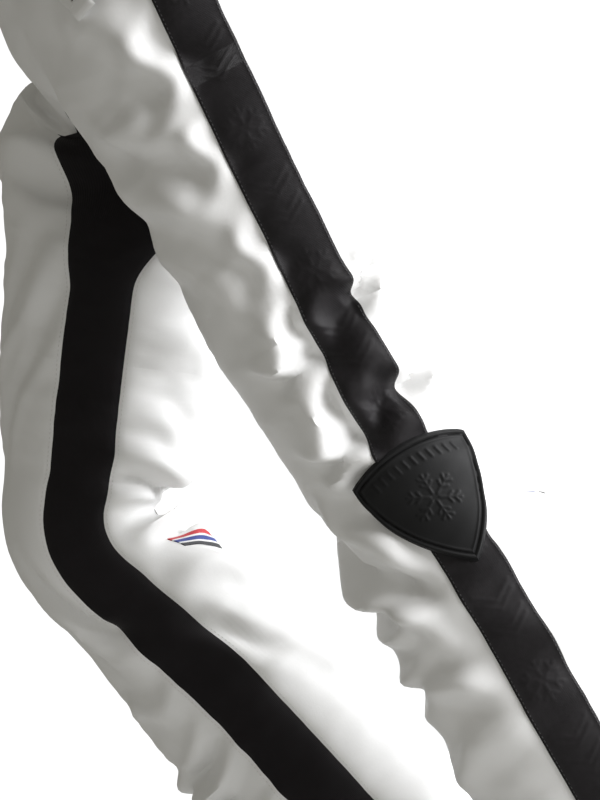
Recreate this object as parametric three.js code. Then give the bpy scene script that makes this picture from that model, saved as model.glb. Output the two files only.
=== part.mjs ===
// Ski pants in a striding pose: shell panels, side tapes, knee badges, zips, waist hardware and cuffs.
// Millimetres, +Z up. The origin is the centre of the waistband's top rim, the wearer's front
// faces -Y and the wearer's left side is +X. Left pieces use side = 1 and right pieces side = -1.
import * as THREE from 'three';

// Depths run down the pattern from the waistband's top rim.
const WAISTBAND = 45;
const SEAT_END = 198;
const CROTCH = 272;
const THIGH_START = 400;
const KNEE_START = 531;
const KNEE = 600;
const SHIN_START = 669;
const HEM = 1060;

// Pose of each leg in degrees: the hip turns the leg backwards, the knee folds the shin backwards.
const POSE = { left: { hip: 6, knee: 2.5 }, right: { hip: -28.5, knee: 50 } };
const HIP_DEPTH = 175;
const KNEE_AXIS_Y = 20;
const KNEE_BEND = 90;

// Cloth and trim, as offsets from the outer face of the shell fabric.
const SHELL = [-3, 0];
const LINING = [-8, -6.5];
const TRIM = [0.8, 2.2];
const BADGE = [2.8, 6.6];
const SEAM_GAP = 0.3;
const TAPE_WIDTH = 45;
const INNER_WIDTH = 51;

// Hip sections: depth, half width, half depth, centre towards the back.
const HIP_SECTIONS = [
  [0, 140, 104, 0],
  [45, 147, 109, 1],
  [110, 170, 119, 4],
  [180, 182, 124, 7],
  [272, 182, 122, 8],
];

// Leg sections: depth, distance of the centre from the middle, half width, half depth, centre towards the back.
const LEG_SECTIONS = [
  [180, 97, 92, 112, 8],
  [272, 95, 89, 108, 7],
  [340, 90, 84, 99, 4],
  [420, 84, 78, 90, 1],
  [500, 80, 73, 82, -2],
  [600, 76, 68, 70, -3],
  [700, 79, 71, 77, 2],
  [870, 84, 76, 87, 3],
  [1060, 89, 80, 92, 4],
];

// Where the side tape and the inner panel run: depth, turn of each centre line.
const SEAM_LINES = [
  [0, 0.53, 0.026],
  [175, 0.53, 0.026],
  [272, 0.514, 0.026],
  [420, 0.516, 0.018],
  [500, 0.5175, 0.015],
  [600, 0.522, 0.008],
  [700, 0.515, 0.018],
  [870, 0.507, 0.014],
  [1060, 0.505, 0.014],
];
const SIDE_TAPE = 1;
const INNER_PANEL = 2;

const WHITE_SHELL = { color: 0xe9e9e6, roughness: 0.55, metalness: 0 };
const BLACK_STRETCH = { color: 0x0c0a0c, roughness: 0.8, metalness: 0 };
const BLACK_TAPE = { color: 0x252325, roughness: 0.6, metalness: 0 };
const BLACK_RUBBER = { color: 0x1b1b1b, roughness: 0.55, metalness: 0 };
const GREY_LINING = { color: 0x9a9a9a, roughness: 0.9, metalness: 0 };
const DARK_METAL = { color: 0x2c2c30, roughness: 0.35, metalness: 0.9 };
const TRICOLOUR = { color: 0x2a3c86, roughness: 0.7, metalness: 0 };

const pants = new THREE.Group();

function add(name, geometry, finish, matrix) {
  const mesh = new THREE.Mesh(geometry, new THREE.MeshStandardMaterial(finish));
  mesh.name = name;
  if (matrix) {
    matrix.decompose(mesh.position, mesh.quaternion, mesh.scale);
  }
  pants.add(mesh);
}

function smooth(value) {
  const x = THREE.MathUtils.clamp(value, 0, 1);
  return x * x * (3 - 2 * x);
}

// Smooth curve through one column of a table of sections.
function section(table, depth, column) {
  const last = table.length - 2;
  const found = table.findIndex((row, k) => k > 0 && depth <= row[0]);
  const i = found < 0 ? last : found - 1;
  const slope = (k) => {
    const before = table[Math.max(k - 1, 0)];
    const after = table[Math.min(k + 1, table.length - 1)];
    return (after[column] - before[column]) / (after[0] - before[0]);
  };
  const step = table[i + 1][0] - table[i][0];
  const s = THREE.MathUtils.clamp((depth - table[i][0]) / step, 0, 1);
  const startShare = 2 * s ** 3 - 3 * s ** 2 + 1;
  const bend = (s ** 3 - 2 * s ** 2 + s) * slope(i) + (s ** 3 - s ** 2) * slope(i + 1);
  return startShare * table[i][column] + (1 - startShare) * table[i + 1][column] + step * bend;
}

// Hip surface: turn runs 0 to 1 from the front centre round the left side and the back.
function hips(depth, turn) {
  const angle = 2 * Math.PI * turn;
  const x = section(HIP_SECTIONS, depth, 1) * Math.sin(angle);
  const y = section(HIP_SECTIONS, depth, 3) - section(HIP_SECTIONS, depth, 2) * Math.cos(angle);
  return new THREE.Vector3(x, y, -depth);
}

function turnAbout(point, degrees, y, z) {
  const angle = THREE.MathUtils.degToRad(degrees);
  const dy = point.y - y;
  const dz = point.z - z;
  point.y = y + dy * Math.cos(angle) - dz * Math.sin(angle);
  point.z = z + dy * Math.sin(angle) + dz * Math.cos(angle);
}

// One half of the pants: turn runs 0 to 1 from the front seam, or the inseam below the crotch,
// over the front, the side and the back. Half ovals of the hips become a whole oval round each leg.
function half(side) {
  const pose = side > 0 ? POSE.left : POSE.right;
  const rise = 95;
  return (depth, turn) => {
    const q = THREE.MathUtils.clamp((depth - CROTCH + rise) / rise, 0, 1);
    const legShare = 1 - Math.sqrt(1 - q * q);
    const angle = 2 * Math.PI * turn;
    const hip = hips(depth, turn / 2);
    const legX = section(LEG_SECTIONS, depth, 1) - section(LEG_SECTIONS, depth, 2) * Math.cos(angle);
    const legY = section(LEG_SECTIONS, depth, 4) - section(LEG_SECTIONS, depth, 3) * Math.sin(angle);
    const x = THREE.MathUtils.lerp(hip.x, legX, legShare);
    const y = THREE.MathUtils.lerp(hip.y, legY, legShare);
    const point = new THREE.Vector3(side * x, y, -depth);
    turnAbout(point, pose.knee * smooth((depth - KNEE + KNEE_BEND / 2) / KNEE_BEND), KNEE_AXIS_Y, -KNEE);
    const outwards = Math.sin(Math.PI * turn) ** 2;
    const start = THREE.MathUtils.lerp(CROTCH, 90, outwards);
    const end = THREE.MathUtils.lerp(410, 270, outwards);
    turnAbout(point, pose.hip * smooth((depth - start) / (end - start)), 0, -HIP_DEPTH);
    return point;
  };
}

function normal(surface, depth, turn, side) {
  const small = 0.5;
  const down = surface(depth + small, turn).sub(surface(depth - small, turn));
  const round = surface(depth, turn + small / 1000).sub(surface(depth, turn - small / 1000));
  return down.cross(round).multiplyScalar(side).normalize();
}

// Closed geometry from a list of points and faces, turned right side out.
function closed(points, faces) {
  let volume = 0;
  for (const [a, b, c] of faces) {
    volume += points[a].dot(new THREE.Vector3().crossVectors(points[b], points[c]));
  }
  const ordered = volume < 0 ? faces.map(([a, b, c]) => [a, c, b]) : faces;
  const geometry = new THREE.BufferGeometry().setFromPoints(points);
  geometry.setIndex(ordered.flat());
  geometry.computeVertexNormals();
  return geometry;
}

// A sheet of one thickness over part of a surface. start and end are turns, or turns as a function of depth.
function sheet(surface, side, depths, turns, layer, rows, columns, level = false) {
  const [from, to] = depths;
  const edge = (value, depth) => (typeof value === 'function' ? value(depth) : value);
  const points = [];
  for (const offset of layer) {
    for (let i = 0; i <= rows; i += 1) {
      const depth = from + ((to - from) * i) / rows;
      const start = edge(turns[0], depth);
      const end = edge(turns[1], depth);
      for (let j = 0; j <= columns; j += 1) {
        const turn = start + ((end - start) * j) / columns;
        const out = normal(surface, depth, turn, side);
        if (level) {
          out.setZ(0).normalize();
        }
        points.push(surface(depth, turn).addScaledVector(out, offset));
      }
    }
  }
  const width = columns + 1;
  const layerSize = width * (rows + 1);
  const faces = [];
  const quad = (a, b, c, d) => faces.push([a, b, c], [a, c, d]);
  for (let i = 0; i < rows; i += 1) {
    for (let j = 0; j < columns; j += 1) {
      const a = i * width + j;
      quad(a, a + 1, a + width + 1, a + width);
      const b = a + layerSize;
      quad(b, b + width, b + width + 1, b + 1);
    }
  }
  const bottom = rows * width;
  for (let j = 0; j < columns; j += 1) {
    quad(j, j + layerSize, j + layerSize + 1, j + 1);
    quad(bottom + j, bottom + j + 1, bottom + j + 1 + layerSize, bottom + j + layerSize);
  }
  for (let i = 0; i < rows; i += 1) {
    const a = i * width;
    quad(a, a + width, a + width + layerSize, a + layerSize);
    const b = a + columns;
    quad(b, b + layerSize, b + layerSize + width, b + width);
  }
  return closed(points, faces);
}

// Turns of the two edges of a band of constant width along one of the seam lines.
function band(surface, line, width) {
  const edge = (share) => (depth) => {
    const centre = section(SEAM_LINES, depth, line);
    const step = 0.005;
    const reach = surface(depth, centre + step).distanceTo(surface(depth, centre - step));
    return centre + share * width * ((2 * step) / reach);
  };
  return [edge(-0.5), edge(0.5)];
}

// Matrix with X across, Y along and Z outwards, for hardware that lies on the fabric.
function lying(origin, along, outwards) {
  const y = along.clone().normalize();
  const x = new THREE.Vector3().crossVectors(y, outwards).normalize();
  const z = new THREE.Vector3().crossVectors(x, y);
  return new THREE.Matrix4().makeBasis(x, y, z).setPosition(origin);
}

function roundedPlate(width, length, thickness, radius) {
  const w = width / 2;
  const l = length / 2;
  const shape = new THREE.Shape();
  shape.moveTo(-w + radius, -l);
  shape.lineTo(w - radius, -l);
  shape.absarc(w - radius, -l + radius, radius, -Math.PI / 2, 0);
  shape.lineTo(w, l - radius);
  shape.absarc(w - radius, l - radius, radius, 0, Math.PI / 2);
  shape.lineTo(-w + radius, l);
  shape.absarc(-w + radius, l - radius, radius, Math.PI / 2, Math.PI);
  shape.lineTo(-w, -l + radius);
  shape.absarc(-w + radius, -l + radius, radius, Math.PI, 1.5 * Math.PI);
  const geometry = new THREE.ExtrudeGeometry(shape, { depth: thickness, bevelEnabled: false, curveSegments: 4 });
  return geometry;
}

// Straight zip from top to bottom: tape, slider at the top end and pull tab hanging over it.
function zip(name, top, bottom, outwards, tapeWidth, lift) {
  const tapeThickness = 1.2;
  const sliderLength = 12;
  const sliderThickness = 2.6;
  const pullLength = 24;
  const along = top.clone().sub(bottom);
  const length = along.length();
  const middle = top.clone().add(bottom).multiplyScalar(0.5);
  const frame = lying(middle, along, outwards);
  const at = (y, z) => frame.clone().multiply(new THREE.Matrix4().makeTranslation(0, y, z));
  const tapeTop = lift + tapeThickness;
  add(`${name}_zip_tape`, roundedPlate(tapeWidth, length, tapeThickness, 2), BLACK_TAPE, at(0, lift));
  const sliderY = length / 2 - 2 - sliderLength / 2;
  const sliderZ = tapeTop + SEAM_GAP;
  add(`${name}_zip_slider`, roundedPlate(8, sliderLength, sliderThickness, 2), DARK_METAL, at(sliderY, sliderZ));
  const pivotZ = sliderZ + sliderThickness + 1.7;
  const pull = roundedPlate(6, pullLength, 1.6, 2);
  pull.translate(0, 1 - pullLength / 2, -0.8);
  add(`${name}_zip_pull`, pull, DARK_METAL, at(sliderY, pivotZ));
}

// Waistband: the strip itself, the overlapping tab with its snaps, and the belt loops.
const waistTurns = [0.006, 0.994];
add('waistband', sheet(hips, 1, [0, WAISTBAND], waistTurns, SHELL, 2, 40, true), WHITE_SHELL);
add('waist_tab', sheet(hips, 1, [6, 40], [-0.022, 0.022], [2.2, 3.8], 1, 6, true), WHITE_SHELL);
for (const [name, depth] of [['upper', 15], ['lower', 31]]) {
  const place = (offset) => {
    const origin = hips(depth, 0).add(new THREE.Vector3(0, -offset, 0));
    return new THREE.Matrix4().makeTranslation(origin.x, origin.y, origin.z);
  };
  add(`snap_stud_${name}`, new THREE.CylinderGeometry(4, 4, 1.2, 20), DARK_METAL, place(1.2));
  add(`snap_cap_${name}`, new THREE.CylinderGeometry(6.5, 6.5, 2, 24), DARK_METAL, place(6));
}
const LOOP_TURNS = [0.12, 0.42, 0.58, 0.88];
LOOP_TURNS.forEach((turn, k) => {
  const outline = [[1, 0], [4.9, 0], [4.9, -40], [1, -40], [1, -37], [3.5, -37], [3.5, -3], [1, -3]];
  const loop = new THREE.ExtrudeGeometry(
    new THREE.Shape(outline.map(([x, y]) => new THREE.Vector2(x, y))),
    { depth: 10, bevelEnabled: false },
  );
  loop.translate(0, 0, -5);
  const up = hips(2.5, turn).sub(hips(42.5, turn)).normalize();
  const across = normal(hips, 22, turn, 1).cross(up).normalize();
  const out = new THREE.Vector3().crossVectors(up, across);
  const place = new THREE.Matrix4().makeBasis(out, up, across).setPosition(hips(2.5, turn));
  add(`belt_loop_${k + 1}`, loop, BLACK_TAPE, place);
});

// Fly: shield inside, zip in the gap between the front panels.
add('fly_shield', sheet(hips, 1, [50, 186], [-0.028, 0.028], [-7, -5.5], 4, 6), WHITE_SHELL);
zip('fly', hips(52, 0), hips(176, 0), new THREE.Vector3(0, -1, 0), 11, -2);

const SIDES = [['left', 1], ['right', -1]];
for (const [name, side] of SIDES) {
  const cloth = half(side);
  const [tapeStart, tapeEnd] = band(cloth, SIDE_TAPE, TAPE_WIDTH);
  const piece = (part, depths, turns, layer, rows, columns, finish) => {
    add(`${name}_${part}`, sheet(cloth, side, depths, turns, layer, rows, columns), finish);
  };
  const seatDepths = [WAISTBAND + SEAM_GAP, SEAT_END];
  const [innerBack, innerFront] = band(cloth, INNER_PANEL, INNER_WIDTH);
  const sideGap = 0.002;
  const front = [(depth) => innerFront(depth) + sideGap, 0.5 - sideGap];
  const back = [0.5 + sideGap, (depth) => 1 + innerBack(depth) - sideGap];
  const inner = [innerBack, innerFront];
  const whole = [0.005, 0.995];

  // Seat, and the soft section that folds at the hip.
  piece('front_hip_panel', seatDepths, [0.016, 0.498], SHELL, 5, 9, WHITE_SHELL);
  piece('back_hip_panel', seatDepths, [0.502, 0.996], SHELL, 5, 9, WHITE_SHELL);
  piece('hip_tape', [WAISTBAND + 3, SEAT_END - 3], [tapeStart, tapeEnd], TRIM, 5, 4, BLACK_TAPE);
  piece('upper_leg', [SEAT_END + 2, THIGH_START - SEAM_GAP], whole, SHELL, 6, 24, WHITE_SHELL);

  // Thigh, the soft knee section and the shin.
  const thigh = [THIGH_START, KNEE_START - SEAM_GAP];
  const shin = [SHIN_START, HEM - 8];
  piece('front_thigh', thigh, front, SHELL, 3, 9, WHITE_SHELL);
  piece('back_thigh', thigh, back, SHELL, 3, 9, WHITE_SHELL);
  piece('inner_thigh', thigh, inner, SHELL, 3, 3, BLACK_STRETCH);
  piece('thigh_tape', thigh, [tapeStart, tapeEnd], TRIM, 3, 4, BLACK_TAPE);
  piece('knee', [KNEE_START, SHIN_START - SEAM_GAP], whole, SHELL, 7, 22, WHITE_SHELL);
  piece('front_shin', shin, front, SHELL, 7, 8, WHITE_SHELL);
  piece('back_shin', shin, back, SHELL, 7, 8, WHITE_SHELL);
  piece('inner_shin', shin, inner, SHELL, 7, 3, BLACK_STRETCH);
  piece('shin_tape', [SHIN_START + 4, HEM - 10], [tapeStart, tapeEnd], TRIM, 7, 4, BLACK_TAPE);

  // Knee badge, tricolour trim, hem binding and the elastic snow cuff inside the hem.
  const [badgeStart, badgeEnd] = band(cloth, SIDE_TAPE, 100);
  piece('knee_badge', [570, 674], [badgeStart, badgeEnd], BADGE, 5, 6, BLACK_RUBBER);
  piece('knee_trim', [674, 688], [0.64, 0.86], TRIM, 1, 6, TRICOLOUR);
  piece('hem_binding', [HEM - 7.5, HEM], whole, SHELL, 1, 22, BLACK_TAPE);
  piece('snow_cuff', [900, HEM - 14], whole, [-13, -11.5], 4, 18, GREY_LINING);
  piece('cuff_grip', [HEM - 34, HEM - 18], whole, [-15, -13.5], 1, 18, BLACK_RUBBER);

  // Hand pocket: zip on the front of the hip and a pocket bag behind it.
  const pocketTop = cloth(64, 0.3);
  const pocketBottom = cloth(186, 0.36);
  const pocketOut = normal(cloth, 125, 0.33, side);
  zip(`${name}_pocket`, pocketTop, pocketBottom, pocketOut, 14, 5.5);
  piece('pocket_bag', [72, SEAT_END - 4], [0.12, 0.38], LINING, 4, 5, GREY_LINING);

  // Waist adjuster: the pull-back tab over the waistband at each side of the back.
  const adjusterTurn = side > 0 ? 0.3 : 0.7;
  const tabOut = normal(hips, 22, adjusterTurn, 1);
  const tabAlong = new THREE.Vector3().crossVectors(new THREE.Vector3(0, 0, 1), tabOut);
  const tabPlace = lying(hips(22.5, adjusterTurn), tabAlong, tabOut);
  tabPlace.multiply(new THREE.Matrix4().makeTranslation(0, 0, TRIM[1]));
  add(`${name}_adjuster_tab`, roundedPlate(22, 62, 1.8, 5), BLACK_TAPE, tabPlace);
}

export default pants;
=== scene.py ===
"""Ski pants in a striding pose: shell fabric, side tapes, knee badges, zips, snaps and snow cuffs.

Depths and widths are in millimetres on the pattern, as a maker would cut it. Depth runs down from the
waistband's top rim. Turn runs 0 to 1 round each leg, from the inseam over the front, the side and the back.
"""
import math

import bmesh
import bpy
import numpy as np
from mathutils import Matrix, Vector


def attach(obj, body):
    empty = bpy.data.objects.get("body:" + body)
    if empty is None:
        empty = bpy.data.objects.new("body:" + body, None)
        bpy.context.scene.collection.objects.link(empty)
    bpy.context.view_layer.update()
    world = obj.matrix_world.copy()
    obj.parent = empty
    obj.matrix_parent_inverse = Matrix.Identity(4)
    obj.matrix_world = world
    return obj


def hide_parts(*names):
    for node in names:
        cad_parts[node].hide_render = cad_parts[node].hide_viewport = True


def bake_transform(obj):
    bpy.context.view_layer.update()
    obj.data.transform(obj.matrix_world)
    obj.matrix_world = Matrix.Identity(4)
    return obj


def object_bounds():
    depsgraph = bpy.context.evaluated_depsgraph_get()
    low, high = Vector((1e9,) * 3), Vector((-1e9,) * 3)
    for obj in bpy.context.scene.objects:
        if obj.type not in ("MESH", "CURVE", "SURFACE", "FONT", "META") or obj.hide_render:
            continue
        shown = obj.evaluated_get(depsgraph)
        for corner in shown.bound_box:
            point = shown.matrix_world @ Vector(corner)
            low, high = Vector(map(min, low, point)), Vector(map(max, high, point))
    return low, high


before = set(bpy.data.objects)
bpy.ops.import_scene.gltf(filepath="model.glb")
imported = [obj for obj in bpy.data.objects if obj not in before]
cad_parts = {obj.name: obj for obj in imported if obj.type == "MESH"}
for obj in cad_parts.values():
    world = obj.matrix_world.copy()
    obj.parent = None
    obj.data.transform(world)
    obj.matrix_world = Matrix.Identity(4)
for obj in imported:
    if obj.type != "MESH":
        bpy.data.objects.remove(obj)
CAD_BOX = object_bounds()

MM = 0.001
SIDES = {"left": 1, "right": -1}

# The pattern, with the same sizes as the solid part.
WAISTBAND = 45
CROTCH = 272
MID_THIGH = 470
KNEE = 600
HEM = 1060
RISE = 95
POSE = {"left": (6.0, 2.5), "right": (-28.5, 50.0)}
HIP_DEPTH = 175
KNEE_AXIS_Y = 20
KNEE_BEND = 90
GIRTH = 490

# Depths between which the leg takes up its swing at the hip.
INSEAM_SWING = (CROTCH, 410)
SIDE_SWING = (90, 270)

TAPE_WIDTH = 45
INNER_WIDTH = 51

# Depth, half width, half depth, centre towards the back.
HIP_SECTIONS = np.array([
    (0, 140, 104, 0), (45, 147, 109, 1), (110, 170, 119, 4), (180, 182, 124, 7), (272, 182, 122, 8),
], float)

# Depth, distance of the centre from the middle, half width, half depth, centre towards the back.
LEG_SECTIONS = np.array([
    (180, 97, 92, 112, 8), (272, 95, 89, 108, 7), (340, 90, 84, 99, 4), (420, 84, 78, 90, 1),
    (500, 80, 73, 82, -2), (600, 76, 68, 70, -3), (700, 79, 71, 77, 2), (870, 84, 76, 87, 3),
    (1060, 89, 80, 92, 4),
], float)

# Depth, turn of the side tape's centre line, turn of the inner panel's centre line.
SEAM_LINES = np.array([
    (0, 0.53, 0.026), (175, 0.53, 0.026), (272, 0.514, 0.026), (420, 0.516, 0.018), (500, 0.5175, 0.015),
    (600, 0.522, 0.012), (650, 0.5185, 0.018), (700, 0.515, 0.010), (745, 0.513, 0.002), (870, 0.507, 0.004),
    (1060, 0.505, 0.012),
], float)

# Folds: start depth and turn, end depth and turn, width, height. A negative height is a crease.
FOLDS = {
    "left": [
        (222, 0.425, 280, 0.46, 11, 9), (180, 0.33, 226, 0.42, 15, 5), (262, 0.30, 300, 0.45, 13, 5),
        (285, 0.30, 335, 0.44, 11, -6), (305, 0.27, 375, 0.445, 15, 7), (300, 0.45, 350, 0.458, 8, 5),
        (382, 0.445, 432, 0.458, 9, 7), (350, 0.28, 430, 0.41, 18, 5), (500, 0.39, 494, 0.475, 7, -6),
        (572, 0.38, 564, 0.475, 7, -7), (452, 0.461, 490, 0.457, 8, -6), (516, 0.461, 562, 0.455, 8, -7),
        (492, 0.45, 474, 0.57, 14, -8), (560, 0.45, 546, 0.58, 13, -8), (524, 0.47, 514, 0.57, 12, 4),
        (580, 0.36, 572, 0.47, 9, 7),
        (600, 0.32, 655, 0.43, 12, 9), (622, 0.25, 690, 0.43, 10, -9), (640, 0.24, 720, 0.42, 12, 10),
        (670, 0.22, 708, 0.40, 9, -8), (698, 0.24, 700, 0.47, 12, 9), (726, 0.25, 768, 0.44, 12, 8),
        (752, 0.22, 740, 0.40, 9, -7), (820, 0.24, 800, 0.45, 16, 6), (880, 0.26, 900, 0.47, 18, 6),
        (450, 0.61, 466, 0.55, 7, -12), (528, 0.65, 545, 0.565, 8, -13), (560, 0.62, 585, 0.86, 12, -8),
        (610, 0.60, 600, 0.90, 14, 7), (640, 0.58, 660, 0.84, 10, -7), (690, 0.62, 670, 0.88, 13, 7),
        (760, 0.56, 790, 0.84, 15, 6), (330, 0.60, 400, 0.80, 20, 5), (250, 0.66, 340, 0.90, 20, 5),
        (960, 0.20, 975, 0.52, 14, 7), (1000, 0.52, 985, 0.86, 12, 7), (990, 0.10, 1005, 0.40, 9, -6),
    ],
    "right": [
        (506, 0.215, 382, 0.085, 9, 4), (540, 0.19, 426, 0.08, 8, -4), (470, 0.23, 372, 0.13, 8, -3.5),
        (346, 0.19, 262, 0.21, 16, 7), (310, 0.27, 240, 0.16, 14, -7), (290, 0.12, 330, 0.34, 16, 8),
        (538, -0.04, 552, -0.26, 10, 8), (558, -0.055, 574, -0.27, 8, -8), (586, -0.10, 596, -0.38, 14, -4),
        (612, -0.12, 618, -0.36, 10, 9), (634, -0.18, 640, -0.38, 8, -8), (606, 0.15, 664, 0.07, 8, -6),
        (624, 0.17, 690, 0.09, 11, 6), (694, -0.03, 772, -0.13, 10, -5), (660, -0.10, 716, -0.26, 14, 7),
        (718, 0.20, 730, 0.07, 11, 5), (800, 0.24, 776, 0.07, 8, -9), (790, 0.26, 812, 0.07, 10, 9),
        (828, 0.22, 806, 0.06, 7, -8), (845, 0.20, 838, 0.05, 10, 8), (870, 0.24, 850, 0.10, 8, -6),
        (760, -0.10, 820, -0.25, 15, 5), (450, -0.10, 470, -0.25, 16, 5), (490, -0.08, 520, -0.24, 13, -5),
        (560, 0.42, 585, 0.62, 12, -8), (620, 0.40, 600, 0.66, 12, 8), (650, 0.36, 680, 0.60, 12, -7),
        (300, 0.40, 380, 0.60, 20, 8), (250, 0.66, 330, 0.90, 20, 9), (290, 0.60, 370, 0.86, 14, -7),
        (960, 0.20, 975, 0.52, 14, 7), (1000, 0.52, 985, 0.86, 12, 7), (990, 0.10, 1005, 0.40, 9, -6),
    ],
}
# Pleats beside the left tape: start and end, width of the gentle side, widths of the steep side at its top
# and bottom, height.
PLEATS = [(440, 0.454, 492, 0.410, 22, 4, 10, 16), (504, 0.452, 564, 0.402, 22, 4, 11, 18)]

# Broad fullness of the cloth: middle depth and turn, depth spread and turn spread, height.
FULLNESS = {
    "left": [(335, 0.22, 65, 0.13, -10)],
    "right": [(268, 0.27, 66, 0.16, 30), (640, 0.25, 90, 0.16, -10), (580, 0.72, 28, 0.12, -9),
              (520, 0.73, 26, 0.12, 7)],
}


def smooth(value):
    x = np.clip(value, 0.0, 1.0)
    return x * x * (3 - 2 * x)


def section(table, depth, column):
    """A smooth curve through one column of a table of sections."""
    x, y = table[:, 0], table[:, column]
    after = np.minimum(np.arange(len(x)) + 1, len(x) - 1)
    before = np.maximum(np.arange(len(x)) - 1, 0)
    slope = (y[after] - y[before]) / (x[after] - x[before])
    i = np.clip(np.searchsorted(x, depth) - 1, 0, len(x) - 2)
    step = x[i + 1] - x[i]
    s = np.clip((depth - x[i]) / step, 0, 1)
    share = 2 * s**3 - 3 * s**2 + 1
    bend = (s**3 - 2 * s**2 + s) * slope[i] + (s**3 - s**2) * slope[i + 1]
    return share * y[i] + (1 - share) * y[i + 1] + step * bend


def hip_oval(depth, turn):
    """Hip surface: turn runs 0 to 1 from the front centre round the left side and the back."""
    x = section(HIP_SECTIONS, depth, 1) * np.sin(2 * np.pi * turn)
    y = section(HIP_SECTIONS, depth, 3) - section(HIP_SECTIONS, depth, 2) * np.cos(2 * np.pi * turn)
    return np.stack([x, y, -depth + 0 * x], -1)


def turned(points, degrees, y, z):
    angle = np.radians(degrees)
    dy, dz = points[..., 1] - y, points[..., 2] - z
    return np.stack([
        points[..., 0],
        y + dy * np.cos(angle) - dz * np.sin(angle),
        z + dy * np.sin(angle) + dz * np.cos(angle),
    ], -1)


def along_and_off(dx, dy, run_x, run_y):
    """Share of the way along a straight run, and the distance off it."""
    length = np.hypot(run_x, run_y)
    return (dx * run_x + dy * run_y) / length**2, (dx * run_y - dy * run_x) / length


def pleats(depth, turn):
    """Soft on the front side and steep on the tape's side, wider towards the bottom."""
    height = 0 * depth
    for d0, t0, d1, t1, gentle, narrow, wide, tall in PLEATS:
        a, c = along_and_off((turn - t0) * GIRTH, depth - d0, (t1 - t0) * GIRTH, d1 - d0)
        share = np.clip(a, 0, 1)
        spread = np.where(c < 0, gentle, narrow + (wide - narrow) * share)
        ends = smooth((a + 0.15) / 0.4) * smooth((1.1 - a) / 0.2)
        height = height + tall * (0.45 + 0.55 * share) * ends * np.exp(-(c / spread) ** 2)
    return height


def ripples(depth, turn, seed):
    """Soft irregular waves in the cloth, about 1 high, longer round the leg than along it."""
    draw = np.random.default_rng(seed)
    total = 0 * depth
    for _ in range(7):
        across, along = draw.integers(1, 4), draw.uniform(1 / 120, 1 / 48)
        phase, swing = draw.uniform(0, 2 * np.pi, 2)
        wander = turn * draw.integers(1, 3) + depth / draw.uniform(150, 260)
        warp = 1.3 * np.sin(2 * np.pi * wander + swing)
        sign = draw.choice((-1, 1))
        total = total + np.sin(2 * np.pi * (sign * across * turn + depth * along) + phase + warp)
    return total / 3.2


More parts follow.
